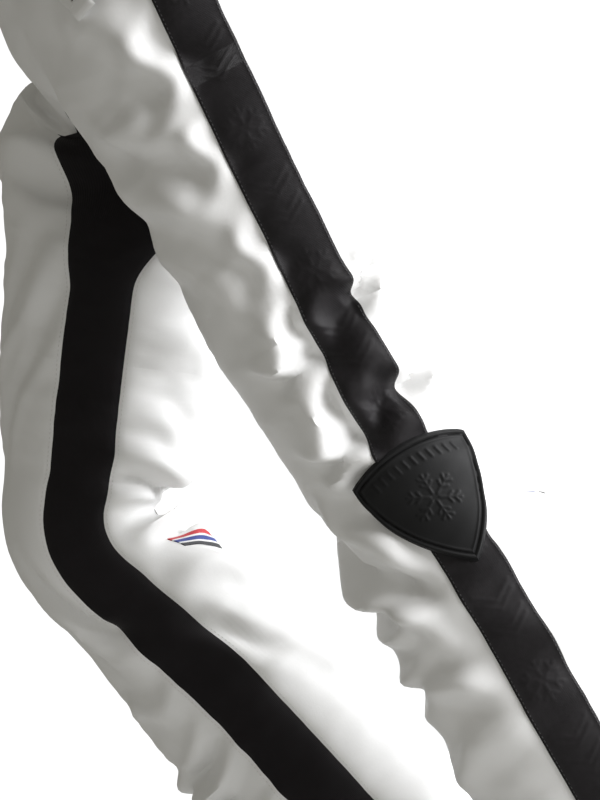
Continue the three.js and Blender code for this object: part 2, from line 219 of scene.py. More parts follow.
class Half:
    """One half of the pants as a surface over depth and turn."""

    def __init__(self, name):
        self.name = name
        self.side = SIDES[name]
        self.hip, self.knee = POSE[name]

    def pattern(self, depth, turn):
        """The surface before the leg is posed."""
        q = np.clip((depth - CROTCH + RISE) / RISE, 0, 1)
        at_inseam = 1 - np.sqrt(np.clip(1 - q * q, 0, 1))
        over_thigh = smooth((depth - 110) / 250)
        leg_share = at_inseam + (over_thigh - at_inseam) * smooth(4 * np.sin(np.pi * turn) ** 2)
        angle = 2 * np.pi * turn
        hip = hip_oval(depth, turn / 2)
        centre, half_width = section(LEG_SECTIONS, depth, 1), section(LEG_SECTIONS, depth, 2)
        closing = (centre - half_width) * (1 - smooth((depth - CROTCH) / 50)) * ((1 + np.cos(angle)) / 2) ** 3
        leg_x = centre - half_width * np.cos(angle) - closing
        leg_y = section(LEG_SECTIONS, depth, 4) - section(LEG_SECTIONS, depth, 3) * np.sin(angle)
        x = hip[..., 0] * (1 - leg_share) + leg_x * leg_share
        y = hip[..., 1] * (1 - leg_share) + leg_y * leg_share
        return np.stack([self.side * x, y, -depth + 0 * x], -1)

    def posed(self, points, depth, turn):
        """Bends the knee and swings the hip, higher up at the side than at the inseam."""
        bend = self.knee * smooth((depth - KNEE + KNEE_BEND / 2) / KNEE_BEND)
        points = turned(points, bend, KNEE_AXIS_Y, -KNEE)
        at_side = np.sin(np.pi * turn) ** 2
        start, end = (low + (high - low) * at_side for low, high in zip(INSEAM_SWING, SIDE_SWING))
        return turned(points, self.hip * smooth((depth - start) / (end - start)), 0, -HIP_DEPTH)

    def plain(self, depth, turn):
        return self.posed(self.pattern(depth, turn), depth, turn)

    def normal(self, depth, turn):
        small = 0.5
        down = self.plain(depth + small, turn) - self.plain(depth - small, turn)
        round_it = self.plain(depth, turn + small / 1000) - self.plain(depth, turn - small / 1000)
        out = self.side * np.cross(down, round_it)
        return out / np.linalg.norm(out, axis=-1, keepdims=True)

    def line(self, depth, column):
        return section(SEAM_LINES, depth, column)

    def reach(self, depth, turn):
        """Millimetres round the leg for one turn."""
        step = 0.004
        ahead, behind = self.pattern(depth, turn + step), self.pattern(depth, turn - step)
        return np.linalg.norm(ahead - behind, axis=-1) / (2 * step)

    def creases(self, depth, turn):
        """Long folds, each with a shallow dip on either side of its ridge."""
        height = 0 * depth
        for d0, t0, d1, t1, width, tall in FOLDS[self.name]:
            middle = (t1 - t0) / 2
            dx = (np.mod(turn - t0 - middle + 0.5, 1.0) - 0.5 + middle) * GIRTH
            a, c = along_and_off(dx, depth - d0, (t1 - t0) * GIRTH, d1 - d0)
            c = c + 0.35 * width * np.sin(2.2 * np.pi * a)
            ends = smooth((a + 0.25) / 0.45) * smooth((1.25 - a) / 0.45)
            wide = width * (0.8 + 0.5 * np.abs(a - 0.4))
            ridge = np.exp(-(c / wide) ** 2)
            dips = np.exp(-((np.abs(c) - 1.9 * wide) / wide) ** 2)
            height = height + tall * ends * (ridge - 0.45 * dips)
        return height

    def fold(self, depth, turn):
        """How far the cloth stands out from the plain surface."""
        turn = np.mod(turn, 1.0)
        height = self.creases(depth, turn)
        if self.name == "left":
            height = height + pleats(depth, turn)
        for d0, t0, down, round_it, tall in FULLNESS[self.name]:
            dt = np.mod(turn - t0 + 0.5, 1.0) - 0.5
            height = height + tall * np.exp(-((depth - d0) / down) ** 2 - (dt / round_it) ** 2)
        knee_crumple = np.exp(-((depth - KNEE - 15) / 75) ** 2)
        hem_stack = smooth((depth - 880) / 120)
        waves = 0.9 + 1.9 * knee_crumple * (self.name == "left") + 1.3 * hem_stack
        height = height + waves * ripples(depth, turn, 11 + self.side)
        height = height + 0.3 * ripples(depth * 3.1, turn * 3, 29 + self.side)
        centre_seam = smooth(np.minimum(turn, 1 - turn) / 0.07)
        near_rise = 1 - smooth((depth - 300) / 60)
        return height * (1 - near_rise * (1 - centre_seam)) * smooth((depth - WAISTBAND + 2) / 60)

    def seam_groove(self, depth, turn):
        """The cloth dips where two panels are sewn together."""
        start, end = self.panel_edges(depth)
        groove = 0 * depth
        for edge in (start, end):
            away = (np.mod(turn - edge + 0.5, 1.0) - 0.5) * self.reach(depth, turn)
            groove = groove - 1.1 * np.exp(-(away / 2.6) ** 2)
        return groove * smooth((depth - CROTCH - 4) / 20)

    def panel_edges(self, depth):
        """Turns of the inner panel's back and front edges."""
        centre = self.line(depth, 2)
        half_turn = INNER_WIDTH / 2 / self.reach(depth, centre)
        wedge = 0.1 * (1 - smooth((depth - CROTCH) / 150))
        return centre - half_turn - 0.4 * wedge, centre + half_turn + wedge

    def at(self, depth, turn, lift=0.0):
        """Points of the folded cloth in metres, lift millimetres proud of it."""
        depth, turn = np.broadcast_arrays(np.asarray(depth, float), np.asarray(turn, float))
        raised = self.fold(depth, turn) + self.seam_groove(depth, turn) + lift
        points = self.plain(depth, turn) + self.normal(depth, turn) * raised[..., None]
        gap = 0.8 * smooth((depth - CROTCH) / 30)
        out = np.maximum(self.side * points[..., 0], gap)
        points[..., 0] = self.side * out
        return points * MM


class Band:
    """The waistband's oval, the same for both sides."""

    name = "waist"
    side = 1

    def pattern(self, depth, turn):
        return hip_oval(depth, turn)

    def reach(self, depth, turn):
        step = 0.002
        ahead, behind = hip_oval(depth, turn + step), hip_oval(depth, turn - step)
        return np.linalg.norm(ahead - behind, axis=-1) / (2 * step)

    def at(self, depth, turn, lift=0.0):
        depth, turn = np.broadcast_arrays(np.asarray(depth, float), np.asarray(turn, float))
        points = hip_oval(depth, turn)
        out = np.stack([np.sin(2 * np.pi * turn) * section(HIP_SECTIONS, depth, 2),
                        -np.cos(2 * np.pi * turn) * section(HIP_SECTIONS, depth, 1), 0 * turn], -1)
        out = out / np.linalg.norm(out, axis=-1, keepdims=True)
        return (points + out * (np.zeros_like(turn) + lift)[..., None]) * MM


HALVES = {name: Half(name) for name in SIDES}
WAIST = Band()


# ---------------------------------------------------------------- meshes

def finish_mesh(bm, name, finish):
    mesh = bpy.data.meshes.new(name)
    bm.to_mesh(mesh)
    bm.free()
    piece = bpy.data.objects.new(name, mesh)
    bpy.context.scene.collection.objects.link(piece)
    mesh.materials.append(finish)
    return piece


def soften(bm, sharp_angle=0.9):
    """Smooth shading, except over real corners."""
    for face in bm.faces:
        face.smooth = True
    for edge in bm.edges:
        edge.smooth = len(edge.link_faces) != 2 or edge.calc_face_angle() < sharp_angle


def pick(value, depth):
    return value(depth) if callable(value) else value + 0 * depth


def row_depths(depths, spacing):
    """Even rows, but much closer together where the seams sweep round the crotch."""
    start, end = depths
    fine = np.linspace(start, end, 4001)
    weight = 1 + 9 * ((fine > CROTCH - 12) & (fine < CROTCH + 4)) * (end - start > 150)
    run = np.concatenate([[0], np.cumsum((weight[1:] + weight[:-1]) / 2 * np.diff(fine))])
    rows = max(2, round(run[-1] / spacing))
    return np.interp(np.linspace(0, run[-1], rows + 1), run, fine)


def flat_grid(columns, rows):
    """A flat grid to be laid out as a sheet, with each point's share across and along it."""
    bm = bmesh.new()
    bmesh.ops.create_grid(bm, x_segments=columns, y_segments=rows, size=0.5)
    share = np.array([v.co[:] for v in bm.verts]) + 0.5
    return bm, share[:, 0], share[:, 1]


def unwrap(bm, width, length):
    """Lays the flat grid's width and length out as the sheet's UV map, in metres."""
    layer = bm.loops.layers.uv.new("UVMap")
    for face in bm.faces:
        for loop in face.loops:
            loop[layer].uv = ((loop.vert.co.x + 0.5) * width * MM, (loop.vert.co.y + 0.5) * length * MM)


def lay_out(bm, places, further, thick, name, finish):
    """Lays the grid out in its places as a piece, with its thickness in millimetres on the inner side."""
    for vert, place in zip(bm.verts, places):
        vert.co = place
    outwards(bm, further)
    thicken(bm, thick * MM)
    soften(bm)
    return finish_mesh(bm, name, finish)


def cloth(name, surface, depths, turns, finish, lift=0.0, thick=2.2, spacing=4.0, shape=None):
    """A sheet of cloth over part of a surface. shape(across, along) gives extra lift over the sheet,
    in millimetres from its centre line and down from its top."""
    top, bottom = depths
    middle = np.array((top + bottom) / 2)
    first, last = pick(turns[0], middle), pick(turns[1], middle)
    width = float(last - first) * float(surface.reach(middle, (first + last) / 2))
    levels = row_depths(depths, spacing)
    bm, across, along = flat_grid(max(2, round(width / spacing)), len(levels) - 1)
    unwrap(bm, width, bottom - top)
    depth = levels[np.rint(along * (len(levels) - 1)).astype(int)]
    start, end = pick(turns[0], depth), pick(turns[1], depth)
    turn = start + (end - start) * across
    if shape:
        lift = lift + shape((across - 0.5) * width, depth - top)
    return lay_out(bm, surface.at(depth, turn, lift), surface.at(depth, turn, lift + 5), thick, name, finish)


def outwards(bm, further):
    """Turns the faces towards the points that lie further out."""
    bm.faces.ensure_lookup_table()
    bm.verts.index_update()
    bm.normal_update()
    face = bm.faces[len(bm.faces) // 2]
    vert = face.verts[0]
    if face.normal.dot(Vector(further[vert.index]) - vert.co) < 0:
        bmesh.ops.reverse_faces(bm, faces=bm.faces[:])


def thicken(bm, thickness):
    """Gives an open sheet its thickness on the inner side."""
    bm.normal_update()
    inwards = {tuple(v.co): v.normal * thickness for v in bm.verts}
    made = bmesh.ops.extrude_face_region(bm, geom=bm.faces[:], use_keep_orig=True)
    for part in made["geom"]:
        if isinstance(part, bmesh.types.BMVert):
            part.co -= inwards[tuple(part.co)]
    bmesh.ops.recalc_face_normals(bm, faces=bm.faces[:])


def stitches(name, points, normals, finish, length=2.3, radius=0.38, step=3.6):
    """A row of thread stitches along a path of points, all in metres."""
    points, normals = np.asarray(points), np.asarray(normals)
    run = np.concatenate([[0], np.cumsum(np.linalg.norm(np.diff(points, axis=0), axis=1))])
    count = int(run[-1] / (step * MM))
    bm = bmesh.new()
    for k in range(count):
        at = (k + 0.5) * step * MM
        here = Vector([np.interp(at, run, points[:, i]) for i in range(3)])
        ahead = Vector([np.interp(at + 0.5 * MM, run, points[:, i]) for i in range(3)])
        out = Vector([np.interp(at, run, normals[:, i]) for i in range(3)]).normalized()
        along = (ahead - here).normalized()
        across = out.cross(along).normalized()
        out = along.cross(across)
        place = Matrix((along, across, out)).transposed().to_4x4()
        place.translation = here
        size = Matrix.Diagonal((length / 2 * MM, radius * MM, radius * 0.7 * MM, 1))
        bmesh.ops.create_uvsphere(bm, u_segments=6, v_segments=4, radius=1, matrix=place @ size)
    soften(bm, 3.2)
    return finish_mesh(bm, name, finish)


# ---------------------------------------------------------------- materials

class Value:
    """A shader socket that can be used in arithmetic."""

    def __init__(self, shader, socket):
        self.shader, self.socket = shader, socket

    def _maths(self, operation, *values):
        return self.shader.node("ShaderNodeMath", {"operation": operation}, *values)

    def __add__(self, other):
        return self._maths("ADD", self, other)

    def __radd__(self, other):
        return self._maths("ADD", other, self)

    def __mul__(self, other):
        return self._maths("MULTIPLY", self, other)

    def __rmul__(self, other):
        return self._maths("MULTIPLY", other, self)

    def __gt__(self, other):
        return self._maths("GREATER_THAN", self, other)

    def sine(self):
        return self._maths("SINE", self)


class Shader:
    """A material built round one Principled shader."""

    def __init__(self, name, roughness, **settings):
        self.material = bpy.data.materials.new(name)
        self.material.use_nodes = True
        self.tree = self.material.node_tree
        self.surface = self.tree.nodes["Principled BSDF"]
        self.surface.inputs["Roughness"].default_value = roughness
        for socket, value in settings.items():
            self.surface.inputs[socket.replace("_", " ")].default_value = value

    def node(self, kind, settings=None, *values, output=0, **sockets):
        made = self.tree.nodes.new(kind)
        for key, value in (settings or {}).items():
            setattr(made, key, value)
        for key, value in list(enumerate(values)) + list(sockets.items()):
            socket = made.inputs[key if isinstance(key, int) else key.replace("_", " ")]
            if isinstance(value, Value):
                self.tree.links.new(value.socket, socket)
            else:
                socket.default_value = value
        return Value(self, made.outputs[output])

    def uv(self):
        both = self.node("ShaderNodeUVMap", {"uv_map": "UVMap"})
        made = self.tree.nodes.new("ShaderNodeSeparateXYZ")
        self.tree.links.new(both.socket, made.inputs[0])
        return Value(self, made.outputs[0]), Value(self, made.outputs[1])

    def noise(self, scale, detail=2.0, rough=0.5):
        place = self.node("ShaderNodeTexCoord", output="Object")
        return self.node("ShaderNodeTexNoise", Vector=place, Scale=scale, Detail=detail, Roughness=rough)

    def blend(self, factor, first, second):
        made = self.tree.nodes.new("ShaderNodeMix")
        made.data_type = "RGBA"
        for key, value in ((0, factor), (6, first), (7, second)):
            if isinstance(value, Value):
                self.tree.links.new(value.socket, made.inputs[key])
            else:
                made.inputs[key].default_value = value
        return Value(self, made.outputs[2])

    def paint(self, socket, value):
        self.tree.links.new(value.socket, self.surface.inputs[socket])

    def bump(self, height, strength, distance):
        made = self.node("ShaderNodeBump", Height=height, Strength=strength, Distance=distance)
        self.paint("Normal", made)


def rgb(red, green, blue):
    return (red, green, blue, 1.0)


def ribs(along, period):
    """Even ribs across one direction of the piece's own map, -1 to 1, a period of millimetres apart."""
    return (along * (2 * math.pi / (period * MM))).sine()


def weave(shader, period):
    """Over-and-under threads, about 0 to 1, a period of millimetres apart."""
    u, v = shader.uv()
    return ribs(u, period) * ribs(v, period) * 0.5 + 0.5


def shell_finish():
    s = Shader("white_shell_fabric", 0.5, Sheen_Weight=0.25, Sheen_Roughness=0.4, Specular_IOR_Level=0.35)
    cloud = s.noise(9.0, 3.0)
    s.paint("Base Color", s.blend(cloud, rgb(0.80, 0.80, 0.79), rgb(0.87, 0.87, 0.87)))
    s.paint("Roughness", s.noise(40.0) * 0.14 + 0.46)
    crinkle = s.noise(150.0, 3.0, 0.6)
    s.bump(weave(s, 0.7) * 0.25 + crinkle, 0.22, 0.0006)
    return s.material


def stretch_finish():
    s = Shader("black_stretch_fabric", 0.82, Sheen_Weight=0.06, Sheen_Roughness=0.5, Specular_IOR_Level=0.25)
    s.paint("Base Color", s.blend(s.noise(14.0), rgb(0.0030, 0.0020, 0.0026), rgb(0.0075, 0.0055, 0.0068)))
    s.bump(ribs(s.uv()[0], 1.1) * 0.5 + s.noise(220.0), 0.3, 0.0004)
    return s.material


def tape_finish():
    s = Shader("black_tape_webbing", 0.6, Sheen_Weight=0.02, Sheen_Roughness=0.4, Specular_IOR_Level=0.2)
    fleck = s.noise(260.0, 2.0, 0.7)
    s.paint("Base Color", s.blend(fleck, rgb(0.0058, 0.0050, 0.0056), rgb(0.0145, 0.0128, 0.0142)))
    s.paint("Roughness", fleck * 0.2 + 0.42)
    s.bump(ribs(s.uv()[1], 0.9) * 0.5 + 0.5 + fleck * 0.8, 0.35, 0.0004)
    return s.material


def rubber_finish():
    s = Shader("black_badge_rubber", 0.62, Specular_IOR_Level=0.17)
    s.paint("Base Color", s.blend(s.noise(60.0), rgb(0.0055, 0.0056, 0.0058), rgb(0.0092, 0.0093, 0.0096)))
    s.paint("Roughness", s.noise(90.0) * 0.14 + 0.52)
    s.bump(s.noise(900.0, 2.0, 0.6), 0.18, 0.0003)
    return s.material


def lining_finish():
    s = Shader("grey_lining_taffeta", 0.6, Sheen_Weight=0.2)
    s.paint("Base Color", s.blend(s.noise(30.0), rgb(0.27, 0.275, 0.285), rgb(0.36, 0.365, 0.375)))
    s.bump(weave(s, 1.2) * 0.6 + s.noise(180.0), 0.3, 0.0005)
    return s.material


def metal_finish():
    s = Shader("dark_coated_metal", 0.32, Metallic=1.0)
    wear = s.noise(500.0, 4.0, 0.7)
    s.paint("Base Color", s.blend(wear, rgb(0.035, 0.035, 0.04), rgb(0.09, 0.09, 0.095)))
    s.paint("Roughness", wear * 0.25 + 0.22)
    s.bump(s.noise(1400.0), 0.08, 0.0002)
    return s.material


def thread_finish(name, dark, light):
    s = Shader(name, 0.6, Sheen_Weight=0.2)
    s.paint("Base Color", s.blend(s.noise(700.0), dark, light))
    s.bump(s.noise(2500.0), 0.3, 0.0002)
    return s.material


def trim_finish():
    s = Shader("tricolour_ribbon", 0.62, Sheen_Weight=0.2)
    across = s.uv()[1]
    red, white = rgb(0.55, 0.02, 0.03), rgb(0.82, 0.82, 0.82)
    # The dark colour is painted shadow: the stripe from 12.4 mm to the ribbon's lower edge stands in for the
    # shade in the gap beneath the fold, not a woven stripe.
    blue, dark = rgb(0.02, 0.045, 0.26), rgb(0.025, 0.027, 0.032)
    colour = s.blend(across > 4.2 * MM, red, white)
    for start, stripe in ((6.2, blue), (10.4, white), (12.4, dark)):
        colour = s.blend(across > start * MM, colour, stripe)
    s.paint("Base Color", colour)
    s.bump(ribs(across, 0.8) + s.noise(300.0), 0.3, 0.0003)
    return s.material


SHELL = shell_finish()
STRETCH = stretch_finish()
TAPE = tape_finish()
RUBBER = rubber_finish()
LINING = lining_finish()
METAL = metal_finish()
TRIM = trim_finish()
WHITE_THREAD = thread_finish("white_thread", rgb(0.62, 0.62, 0.60), rgb(0.78, 0.78, 0.76))
BLACK_THREAD = thread_finish("black_thread", rgb(0.015, 0.014, 0.015), rgb(0.04, 0.038, 0.04))


# ---------------------------------------------------------------- how pieces move

# How far from its hinge the knee cloth would bend, in metres; follow_knee works out a reach from it that
# nothing uses.
KNEE_FOLD = 0.07


def leg_point(half, depth):
    """Middle of the leg at a depth, in metres."""
    front, back = (half.plain(np.array(float(depth)), np.array(turn)) for turn in (0.25, 0.75))
    return Vector((front + back) * 0.5 * MM)


def follow_hip(piece, half):
    """Bakes the placement of cloth above the middle of the thigh into its mesh."""
    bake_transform(piece)


def follow_knee(piece, half):
    """Bakes the placement of cloth below the middle of the thigh into its mesh; the knee's direction is
    worked out but not used.
    """
    reach = KNEE_FOLD * (leg_point(half, KNEE + 120) - leg_point(half, KNEE - 120)).normalized()
    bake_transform(piece)


def declare(surface, depths, turns):
    """Works out the size the sheet was cut to from the flat pattern, but keeps it nowhere."""
    depth = np.linspace(depths[0], depths[1], 40)
    start, end = pick(turns[0], depth), pick(turns[1], depth)
    widths = []
    for d, a, b in zip(depth, start, end):
        row = surface.pattern(np.full(33, d), np.linspace(a, b, 33))
        widths.append(np.linalg.norm(np.diff(row, axis=0), axis=1).sum())
    width, length = max(widths), abs(depths[1] - depths[0])
    mean = sum(widths) / len(widths)
    area = mean * length * MM * MM
    width * MM
    length * MM


def dress(nodes):
    if nodes:
        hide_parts(*nodes)


def hold(piece, body, slot, *nodes):
    """A piece that stays on one body."""
    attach(piece, body)
    dress(nodes)


def sew(piece, follow, half, slot, *nodes):
    """A piece of cloth baked in place, with the parts it covers hidden."""
    follow(piece, half)
    dress(nodes)


# ---------------------------------------------------------------- legs

SIDE_OVERLAP = 0.003
PANEL_TOP = WAISTBAND - 1.5
CUT = MID_THIGH
SHELL_END = HEM - 4
GUSSET_TOP = 228


def fly_edge(depth):
    """The front panels stop short of the centre beside the fly."""
    return 0.016 * (1 - smooth((depth - 178) / 10))


def gusset_edge(half, depth):
    """Front edge of the inner panel, which runs up the centre seam to a point above the crotch."""
    edge = half.panel_edges(np.maximum(depth, CROTCH))[1]
    return edge * np.clip((depth - GUSSET_TOP) / (CROTCH - GUSSET_TOP), 0, 1) ** 0.8


def leg_panels(half):
    """The white front and back panels and the black inner panel, above and below the middle of the thigh."""
    s = half.name

    def front_start(depth):
        return np.maximum(fly_edge(depth), gusset_edge(half, depth))

    def back_end(depth):
        edge = 1 + half.panel_edges(depth)[0]
        below = smooth((depth - CROTCH + 10) / 10)
        return 1.0 * (1 - below) + edge * below

    front = (front_start, lambda depth: half.line(depth, 1) + SIDE_OVERLAP)
    back = (lambda depth: half.line(depth, 1) - SIDE_OVERLAP, back_end)
    inner = (lambda depth: half.panel_edges(depth)[0], lambda depth: half.panel_edges(depth)[1])
    gusset = (lambda depth: 0 * depth, lambda depth: gusset_edge(half, depth))
    upper, lower = (PANEL_TOP, CUT), (CUT, SHELL_END)
    pieces = [
        ("front_upper", upper, front, SHELL, "white_shell", ("front_hip_panel", "upper_leg", "front_thigh")),
        ("back_upper", upper, back, SHELL, "white_shell", ("back_hip_panel", "back_thigh")),
        ("inner_upper", (CROTCH - 2, CUT), inner, STRETCH, "black_stretch", ("inner_thigh",)),
        ("inner_gusset", (GUSSET_TOP + 1, CROTCH + 0.5), gusset, STRETCH, "black_stretch", ()),
        ("front_lower", lower, front, SHELL, "white_shell", ("front_shin", "knee")),
        ("back_lower", lower, back, SHELL, "white_shell", ("back_shin",)),
        ("inner_lower", lower, inner, STRETCH, "black_stretch", ("inner_shin",)),
    ]
    for part, depths, turns, finish, slot, nodes in pieces:
        piece = cloth(f"{s}_{part}_cloth", half, depths, turns, finish, spacing=3.6)
        above = depths[0] < CUT
        declare(half, depths, turns)
        sew(piece, follow_hip if above else follow_knee, half, slot, *[f"{s}_{node}" for node in nodes])


# Raised outlines on the tape, as line segments in millimetres across and along one repeat.
MOTIF_LENGTH = 58


def chevrons():
    lines = []
    for y in (-16, -9, 5, 12):
        lines += [(-15, y - 4, 0, y + 6), (0, y + 6, 15, y - 4)]
    return lines


def flake():
    lines = []
    for k in range(6):
        angle = math.radians(30 + 60 * k)
        x, y = math.cos(angle), math.sin(angle)
        lines.append((3 * x, 3 * y, 16 * x, 16 * y))
        for turn in (-50, 50):
            side = angle + math.radians(turn)
            lines.append((9 * x, 9 * y, 9 * x + 6 * math.cos(side), 9 * y + 6 * math.sin(side)))
    return lines


MOTIFS = [chevrons(), flake()]


def to_segment(x, y, segment):
    x0, y0, x1, y1 = segment
    dx, dy = x1 - x0, y1 - y0
    share = np.clip(((x - x0) * dx + (y - y0) * dy) / (dx * dx + dy * dy), 0, 1)
    return np.hypot(x - x0 - share * dx, y - y0 - share * dy)


def embossed(across, along):
    """Height of the tape's raised pattern and its thick edges."""
    number = np.floor(along / MOTIF_LENGTH).astype(int) % len(MOTIFS)
    y = np.mod(along, MOTIF_LENGTH) - MOTIF_LENGTH / 2
    height = 0 * across
    for k, motif in enumerate(MOTIFS):
        near = np.min([to_segment(across, y, segment) for segment in motif], axis=0)
        height = np.where(number == k, 0.5 * np.exp(-(near / 1.2) ** 2), height)
    edge = TAPE_WIDTH / 2 - np.abs(across)
    return height + 0.35 * np.exp(-((edge - 1.8) / 1.1) ** 2) - 0.5 * np.exp(-(edge / 0.8) ** 2)


def side_tape(half):
    """The black embossed tape over the side seam, from the waistband to the hem."""
    s = half.name

    def edge(share):
        def turn(depth):
            centre = half.line(depth, 1)
            return centre + share * TAPE_WIDTH / half.reach(depth, centre)
        return turn

    turns = (edge(-0.5), edge(0.5))
    parts = [
        ("hip_tape_band", (PANEL_TOP, CUT), follow_hip, (f"{s}_hip_tape", f"{s}_thigh_tape")),
        ("shin_tape_band", (CUT, HEM - 2), follow_knee, (f"{s}_shin_tape",)),
    ]
    for part, depths, follow, nodes in parts:
        start = depths[0]
        piece = cloth(f"{s}_{part}", half, depths, turns, TAPE, lift=1.5, thick=1.3, spacing=1.4,
                      shape=lambda across, along: embossed(across, along + start))
        declare(half, depths, turns)
        sew(piece, follow, half, "black_tape", *nodes)
        for k, share in enumerate((-0.455, 0.455)):
            depth = np.linspace(start + 3, depths[1] - 1, 260)
            turn = edge(share)(depth)
            thread = stitches(f"{s}_{part}_stitches_{k}", half.at(depth, turn, 1.95),
                              half.normal(depth, turn), BLACK_THREAD, radius=0.3)
            sew(thread, follow, half, "black_tape")


def panel_stitches(half):
    """A row of topstitching beside each of the inner panel's seams."""
    s = half.name
    parts = (("upper", (CROTCH + 14, CUT), follow_hip), ("lower", (CUT, HEM - 16), follow_knee))
    for k, away in enumerate((-2.6, 2.6)):
        for part, depths, follow in parts:
            depth = np.linspace(depths[0], depths[1], 240)
            edge = half.panel_edges(depth)[k]
            turn = edge + away / half.reach(depth, edge)
            thread = stitches(f"{s}_seam_stitches_{part}_{k}", half.at(depth, turn, 0.12),
                              half.normal(depth, turn), WHITE_THREAD, radius=0.28)
            sew(thread, follow, half, "white_shell")


# ---------------------------------------------------------------- knee badge and trim

BADGE_DEPTH = 622
BADGE_HALF_WIDTH = 50
BADGE_SHOULDER = -30
BADGE_HEIGHT = 91
BADGE_LIFT = 5.0
BADGE_THICKNESS = 2.8
SNOWFLAKE_CENTRE = (0, 4)
RIBBON_WIDTH = 16.0
RIBBON_LENGTH = 42.0
RIBBON_DEPTH = 632
RIBBON_SLANT = 22
RIBBON_TURN = 0.862


def emblem():
    """A snowflake with six branched arms, under a row of short bars, as line segments."""
    cx, cy = SNOWFLAKE_CENTRE
    lines = []
    for k in range(6):
        angle = math.radians(30 + 60 * k)
        arm = (math.cos(angle), math.sin(angle))
        lines.append((cx + 3.5 * arm[0], cy + 3.5 * arm[1], cx + 19 * arm[0], cy + 19 * arm[1]))
        for root in (9.0, 14.0):
            for turn in (-50, 50):
                side = angle + math.radians(turn)
                x, y = cx + root * arm[0], cy + root * arm[1]
                lines.append((x, y, x + 5 * math.cos(side), y + 5 * math.sin(side)))
    for k in range(-5, 6):
        x = 6.4 * k
        y = BADGE_SHOULDER - 13 * (1 - (x / BADGE_HALF_WIDTH) ** 2) + 12
        lines.append((x, y, x + 1.5, y + 6))
    return lines


def badge_outline(across, along):
    """Turns a square of -1 to 1 across and 0 to 1 along into the shield's millimetres."""
    x = across * BADGE_HALF_WIDTH * (1 - along ** 1.8) ** 0.9
    y = BADGE_SHOULDER + along * BADGE_HEIGHT - 13 * (1 - across ** 2) * (1 - along) ** 2
    return x, y


def badge_height(x, y):
    """A rolled edge, a double rim, a flat field and the raised emblem."""
    across, along = np.linspace(-1, 1, 120), np.linspace(0, 1, 160)
    border = [badge_outline(across, 0 * across)]
    border += [badge_outline(0 * along + side, along) for side in (-1, 1)]
    rim = np.concatenate([np.stack(part, -1) for part in border])
    edge = np.full(x.shape, 1e9)
    for px, py in rim:
        edge = np.minimum(edge, np.hypot(x - px, y - py))
    height = -2.6 * np.exp(-(edge / 1.1) ** 2)
    height += 0.9 * np.exp(-((edge - 2.6) / 1.2) ** 2) - 0.9 * np.exp(-((edge - 4.9) / 0.7) ** 2)
    height += 0.5 * np.exp(-((edge - 6.6) / 0.9) ** 2)
    lines = np.min([to_segment(x, y, segment) for segment in emblem()], axis=0)
    return height + 0.75 * np.exp(-(lines / 0.95) ** 2) * smooth((edge - 7) / 3)


def knee_badge(half):
    """The rubber shield over the tape at the knee."""
    s = half.name
    bm, across, along = flat_grid(110, 116)
    x, y = badge_outline(2 * across - 1, along)
    depth = BADGE_DEPTH + y
    centre = half.line(depth * 0 + BADGE_DEPTH, 1) + 0.002
    turn = centre + x / half.reach(0 * depth + BADGE_DEPTH, centre)
    lift = BADGE_LIFT + badge_height(x, y) + badge_rise(half, depth, turn)
    places = half.plain(depth, turn) + half.normal(depth, turn) * lift[:, None]
    for vert, place in zip(bm.verts, places * MM):
        vert.co = place
    bmesh.ops.remove_doubles(bm, verts=bm.verts[:], dist=0.00002)
    bmesh.ops.dissolve_degenerate(bm, edges=bm.edges[:], dist=0.00001)
    bm.normal_update()
    middle = max(bm.faces, key=lambda face: face.calc_area())
    if middle.normal.x * half.side < 0:
        bmesh.ops.reverse_faces(bm, faces=bm.faces[:])
    thicken(bm, BADGE_THICKNESS * MM)
    soften(bm, 1.2)
    piece = finish_mesh(bm, f"{s}_badge_shield", RUBBER)
    hold(piece, f"{s}_shin", "black_rubber", f"{s}_knee_badge")


def badge_rise(half, depth, turn):
    """The badge is stiff, so it follows only the broad height of the cloth under it."""
    sample_depth = np.linspace(BADGE_DEPTH - 40, BADGE_DEPTH + 55, 9)
    sample_turn = half.line(sample_depth, 1)
    mean = float(half.fold(sample_depth, sample_turn).mean())
    return mean + 0.25 * (half.fold(depth, turn) - mean)


def knee_trim(half):
    """The tricolour ribbon at the back of the knee, sewn in along a slant, with a painted shadow stripe along
    its lower edge.
    """
    s = half.name
    bm, along, across = flat_grid(60, 12)
    unwrap(bm, RIBBON_LENGTH, RIBBON_WIDTH)
    turn = RIBBON_TURN - along * RIBBON_LENGTH / GIRTH
    depth = RIBBON_DEPTH + along * RIBBON_SLANT + across * RIBBON_WIDTH
    lift = 0.9 + 0.6 * np.sin(np.pi * along) ** 2
    places, further = half.at(depth, turn, lift), half.at(depth, turn, lift + 5)
    piece = lay_out(bm, places, further, 0.9, f"{s}_knee_ribbon", TRIM)
    sew(piece, follow_knee, half, "tricolour_trim", f"{s}_knee_trim")


# ---------------------------------------------------------------- hems and cuffs

CUFF_TOP = 905


def gathers(across, along):
    """Elastic gathers that deepen towards the cuff's lower edge."""
    return smooth(along / 110) * (1.5 * np.sin(across / 4.6) + 0.7 * np.sin(across / 2.9 + along / 22))


